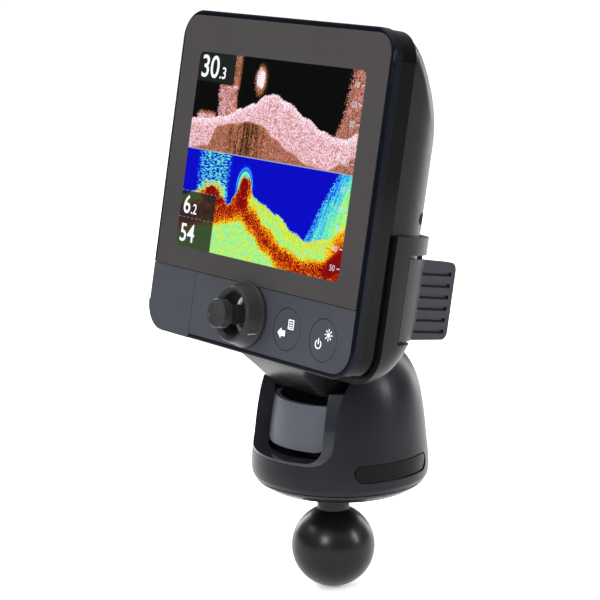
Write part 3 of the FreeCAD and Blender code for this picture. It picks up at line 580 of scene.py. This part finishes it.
def make_finishes():
    """Every material by the name of its finish."""
    c = colours()
    return {
        "satin_charcoal": moulded("satin_charcoal", c.case, 0.36, 0.16),
        "dome_charcoal": moulded("dome_charcoal", c.dome, 0.33, 0.12),
        "belly_gloss": moulded("belly_gloss", c.case, 0.26, 0.06, 0.08),
        "gloss_black": polished("gloss_black", c.bezel, 0.16),
        "trim_gloss": polished("trim_gloss", shaded(c.cup, 0.25), 0.2, 0.5),
        "band_black": polished("band_black", c.band, 0.12),
        "name_plate_black": polished("name_plate_black", c.band, 0.25),
        "keypad_grey": moulded("keypad_grey", c.keypad, 0.5, 0.12),
        "cup_grey": moulded("cup_grey", c.cup, 0.38, 0.08),
        "knob_charcoal": moulded("knob_charcoal", c.knob, 0.36, 0.1),
        "paddle_navy": latch_plastic(c.case, c.paddle),
        "ball_rubber": rubber("ball_rubber", c.ball),
        "seal_rubber": rubber("seal_rubber", SEAL_BLACK),
        "coated_stud": moulded("coated_stud", STUD_BLACK, 0.4, 0.1),
        "dark_alloy": metal("dark_alloy", ALLOY_BLACK, 0.4),
        "stainless": metal("stainless", STEEL, 0.3),
        "circuit_board": circuit_board(),
        "chip_black": moulded("chip_black", CHIP_BLACK, 0.5, 0.2),
        "acetal_white": moulded("acetal_white", ACETAL, 0.45, 0.1),
        "patch_ceramic": moulded("patch_ceramic", CERAMIC, 0.5, 0.3),
        "screen_glass": screen_glass(),
    }


def solid_piece(bm, name, material, body):
    """Turns a bmesh in the display frame into a finished piece whose place is in its mesh."""
    bmesh.ops.remove_doubles(bm, verts=bm.verts, dist=1e-5)
    bmesh.ops.transform(bm, matrix=DISPLAY, verts=bm.verts)
    bmesh.ops.recalc_face_normals(bm, faces=bm.faces)
    for face in bm.faces:
        face.smooth = False
    mesh = bpy.data.meshes.new(name)
    bm.to_mesh(mesh)
    bm.free()
    piece = bpy.data.objects.new(name, mesh)
    bpy.context.collection.objects.link(piece)
    mesh.materials.append(material)
    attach(piece, body)


def add_bar(bm, centre, length, width, angle, face, height):
    """Flat bar on a face of constant y, turned by angle."""
    place = Matrix.Translation((centre[0], face - height / 2, centre[1])) @ Matrix.Rotation(-angle, 4, "Y")
    size = Matrix.Diagonal((length, height, width, 1))
    bmesh.ops.create_cube(bm, size=1.0, matrix=place @ size)


def add_arc(bm, centre, radius, width, face, height, start, turn):
    """Flat arc on a face of constant y."""
    inner = radius - width / 2
    outer = radius + width / 2
    corners = [(inner, 0), (outer, 0), (outer, -height), (inner, -height)]
    verts = []
    for r, y in corners:
        spot = (centre[0] + r * math.cos(start), face + y, centre[1] + r * math.sin(start))
        verts.append(bm.verts.new(spot))
    edges = [bm.edges.new((verts[i], verts[(i + 1) % 4])) for i in range(4)]
    bmesh.ops.spin(
        bm, geom=verts + edges, cent=(centre[0], face, centre[1]), axis=(0, -1, 0), angle=turn,
        steps=int(turn * 8), use_merge=False,
    )
    bmesh.ops.holes_fill(bm, edges=[e for e in bm.edges if e.is_boundary])


def add_disc(bm, centre, radius, face, height):
    """Flat disc on a face of constant y."""
    turn = Matrix.Rotation(math.pi / 2, 4, "X")
    place = Matrix.Translation((centre[0], face - height / 2, centre[1])) @ turn
    bmesh.ops.create_cone(
        bm, cap_ends=True, segments=32, radius1=radius, radius2=radius, depth=height, matrix=place
    )


def add_shape(bm, outline, face, height):
    """Flat shape from a few corner points, given thickness towards the viewer."""
    verts = [bm.verts.new((x, face, z)) for x, z in outline]
    made = bm.faces.new(verts)
    grown = bmesh.ops.extrude_face_region(bm, geom=[made])
    moved = [g for g in grown["geom"] if isinstance(g, bmesh.types.BMVert)]
    bmesh.ops.translate(bm, vec=(0, -height, 0), verts=moved)


def text_piece(words, name, size, at, material, weight=0.0):
    """Numbers on the screen, standing just proud of the glass."""
    curve = bpy.data.curves.new(name + "_line", "FONT")
    curve.body = words
    curve.size = size
    curve.offset = weight
    curve.extrude = 0.02
    curve.align_x = "LEFT"
    helper = bpy.data.objects.new(name + "_line", curve)
    bpy.context.collection.objects.link(helper)
    bpy.context.view_layer.update()
    mesh = bpy.data.meshes.new_from_object(helper)
    bpy.data.objects.remove(helper)
    bm = bmesh.new()
    bm.from_mesh(mesh)
    bpy.data.meshes.remove(mesh)
    turn = Matrix.Rotation(math.pi / 2, 4, "X")
    upright = Matrix.Translation((at[0], GLASS_FACE - 0.04, at[1])) @ turn
    bmesh.ops.transform(bm, matrix=upright, verts=bm.verts)
    solid_piece(bm, name, material, "display")


class FINDER_OT_finishes(bpy.types.Operator):
    """Give every part of the fish finder its material"""

    bl_idname = "finder.finishes"
    bl_label = "Part finishes"

    def execute(self, context):
        made = make_finishes()
        for finish, nodes in FINISHES.items():
            for node in nodes:
                mesh = NODES[node].data
                mesh.materials.clear()
                mesh.materials.append(made[finish])
        return {"FINISHED"}


class FINDER_OT_readouts(bpy.types.Operator):
    """Add the numbers that the screen shows"""

    bl_idname = "finder.readouts"
    bl_label = "Screen numbers"

    def execute(self, context):
        bright = glowing("readout_white", (0.95, 0.97, 1.0), 1.0)
        dim = glowing("scale_white", (0.7, 0.72, 0.75), 0.9)
        size = sizes().readout_size / MM
        for words, name, share, place, boldness in READOUTS:
            text_piece(words, name, size * share, place, bright, boldness)
        scale = sizes().scale_size / MM
        for half, top in SCALE_TOPS.items():
            for index in range(SCALE_MARKS):
                words = str(10 * (index + 1))
                z = top - 5.4 - index * SCALE_STEP
                text_piece(words, "scale_" + half + "_" + words, scale, (SCALE_X, z), dim)
        bm = bmesh.new()
        for top in SCALE_TOPS.values():
            for index in range(SCALE_MARKS):
                z = top - 4.2 - index * SCALE_STEP
                add_bar(bm, (TICK_X, z), 1.8, 0.45, 0.0, GLASS_FACE - 0.02, 0.05)
        solid_piece(bm, "scale_ticks", dim, "display")
        return {"FINISHED"}


class FINDER_OT_key_marks(bpy.types.Operator):
    """Add the printed symbols on the two keys and a painted highlight line on the knob's side"""

    bl_idname = "finder.key_marks"
    bl_label = "Key marks"

    def execute(self, context):
        white = printed("mark_white", (0.85, 0.87, 0.9))
        height = sizes().mark_height / MM
        self.add_back_symbols(white, height)
        self.add_power_symbols(white, height)
        self.add_knob_highlight()
        return {"FINISHED"}

    def add_back_symbols(self, white, height):
        bm = bmesh.new()
        x, z = BACK_KEY[0] - 3.1, BACK_KEY[1] - 2.0
        add_shape(bm, [(x + a, z + b) for a, b in ARROW], BUTTON_FACE, height)
        x, z = BACK_KEY[0] + 2.7, BACK_KEY[1] + 2.4
        for dx, dz, length, angle in PAGE_SIDES:
            add_bar(bm, (x + dx, z + dz), length, 0.42, math.radians(angle), BUTTON_FACE, height)
        for dz in PAGE_LINES:
            add_bar(bm, (x, z + dz), 2.1, 0.36, 0.0, BUTTON_FACE, height)
        solid_piece(bm, "back_key_symbols", white, "back_key")

    def add_power_symbols(self, white, height):
        bm = bmesh.new()
        x, z = POWER_KEY[0] - 2.7, POWER_KEY[1] - 2.1
        add_arc(bm, (x, z), 1.8, 0.46, BUTTON_FACE, height, math.radians(125), math.radians(290))
        add_bar(bm, (x, z + 1.3), 2.5, 0.46, math.radians(90), BUTTON_FACE, height)
        x, z = POWER_KEY[0] + 3.3, POWER_KEY[1] + 2.7
        add_disc(bm, (x, z), 0.95, BUTTON_FACE, height)
        for index in range(SUN_RAYS):
            angle = 2 * math.pi * index / SUN_RAYS
            spot = (x + SUN_RAY_R * math.cos(angle), z + SUN_RAY_R * math.sin(angle))
            add_bar(bm, spot, 1.15, 0.4, angle, BUTTON_FACE, height)
        solid_piece(bm, "power_key_symbols", white, "power_key")

    def add_knob_highlight(self):
        # A thin light grey bar on the knob's side: a painted highlight standing in for light caught along the
        # knob
        bm = bmesh.new()
        angle = math.radians(-28)
        x, z = KNOB_HIGHLIGHT_R * math.cos(angle), KNOB_Z + KNOB_HIGHLIGHT_R * math.sin(angle)
        lean = Matrix.Rotation(-angle, 4, "Y") @ Matrix.Rotation(math.radians(11), 4, "Z")
        place = Matrix.Translation((x, -4.9, z)) @ lean
        bmesh.ops.create_cube(bm, size=1.0, matrix=place @ Matrix.Diagonal((0.5, 6.0, 0.2, 1)))
        # The printed-mark material gives this bar the light grey of its painted highlight
        grey = printed("painted_highlight_grey", (0.3, 0.31, 0.33))
        solid_piece(bm, "knob_painted_highlight", grey, "knob")


class FINDER_OT_stage(bpy.types.Operator):
    """Set up the floor, the soft studio light and the camera"""

    bl_idname = "finder.stage"
    bl_label = "Stage"

    def execute(self, context):
        scene = context.scene
        scene.view_settings.view_transform = "Standard"
        self.add_floor()
        self.add_world(scene)
        self.add_lights()
        self.add_camera(scene)
        return {"FINISHED"}

    def add_floor(self):
        bm = bmesh.new()
        bmesh.ops.create_grid(bm, x_segments=1, y_segments=1, size=FLOOR_HALF)
        bmesh.ops.translate(bm, vec=(0, 0, CAD_BOX[0][2] - FLOOR_GAP), verts=bm.verts)
        mesh = bpy.data.meshes.new("floor")
        bm.to_mesh(mesh)
        bm.free()
        floor = bpy.data.objects.new("floor", mesh)
        bpy.context.collection.objects.link(floor)
        s = Shader("floor_paper")
        tint = s.noise(s.object_point(), 3.0, 2.0)
        tone = s.mix(tint, (0.93, 0.93, 0.93, 1), (0.97, 0.97, 0.97, 1))
        s.set(Base_Color=tone, Roughness=0.9)
        mesh.materials.append(s.set(Emission_Color=tone, Emission_Strength=0.3))

    def add_world(self, scene):
        scene.world = bpy.data.worlds.new("studio")
        s = WorldShader(scene.world)
        height = s.split(s.node("ShaderNodeTexCoord").outputs["Generated"])[2]
        sky = s.ramp(height, [(0.02, (0.06, 0.06, 0.065, 1)), (0.75, (1, 1, 1, 1))])
        s.put(s.surface.inputs["Color"], sky)
        s.put(s.surface.inputs["Strength"], 1.0)

    def add_lights(self):
        for name, (place, size, power) in LIGHTS.items():
            data = bpy.data.lights.new(name, "AREA")
            data.shape = "RECTANGLE"
            data.size, data.size_y = size
            data.energy = power
            lamp = bpy.data.objects.new(name, data)
            bpy.context.collection.objects.link(lamp)
            lamp.location = place
            lamp.rotation_euler = (LIGHT_AIM - Vector(place)).to_track_quat("-Z", "Y").to_euler()

    def add_camera(self, scene):
        data = bpy.data.cameras.new("camera")
        data.lens = CAMERA_LENS
        data.sensor_width = 36.0
        data.clip_start = 0.05
        camera = bpy.data.objects.new("camera", data)
        bpy.context.collection.objects.link(camera)
        right = CAMERA_FORWARD.cross(CAMERA_UP)
        turn = Matrix((right, CAMERA_UP, -CAMERA_FORWARD)).transposed().to_4x4()
        camera.matrix_world = Matrix.Translation(CAMERA_PLACE) @ turn
        scene.camera = camera


OPERATORS = (FINDER_OT_stage, FINDER_OT_finishes, FINDER_OT_readouts, FINDER_OT_key_marks)


class FINDER_PT_panel(bpy.types.Panel):
    """Lists the steps that finish the fish finder"""

    bl_label = "Fish finder"
    bl_idname = "FINDER_PT_panel"
    bl_space_type = "VIEW_3D"
    bl_region_type = "UI"
    bl_category = "Fish finder"

    def draw(self, context):
        layout = self.layout
        for name in FinderColours.__annotations__:
            layout.prop(context.scene.finder_colours, name)
        for name in FinderSizes.__annotations__:
            layout.prop(context.scene.finder_sizes, name)
        for operator in OPERATORS:
            layout.operator(operator.bl_idname)


CLASSES = (FinderColours, FinderSizes, *OPERATORS, FINDER_PT_panel)


def register():
    for cls in CLASSES:
        bpy.utils.register_class(cls)
    bpy.types.Scene.finder_colours = bpy.props.PointerProperty(type=FinderColours)
    bpy.types.Scene.finder_sizes = bpy.props.PointerProperty(type=FinderSizes)


def unregister():
    del bpy.types.Scene.finder_sizes
    del bpy.types.Scene.finder_colours
    for cls in reversed(CLASSES):
        bpy.utils.unregister_class(cls)


def main():
    register()
    bpy.ops.finder.stage()
    bpy.ops.finder.finishes()
    bpy.ops.finder.readouts()
    bpy.ops.finder.key_marks()


if __name__ == "__main__":
    main()
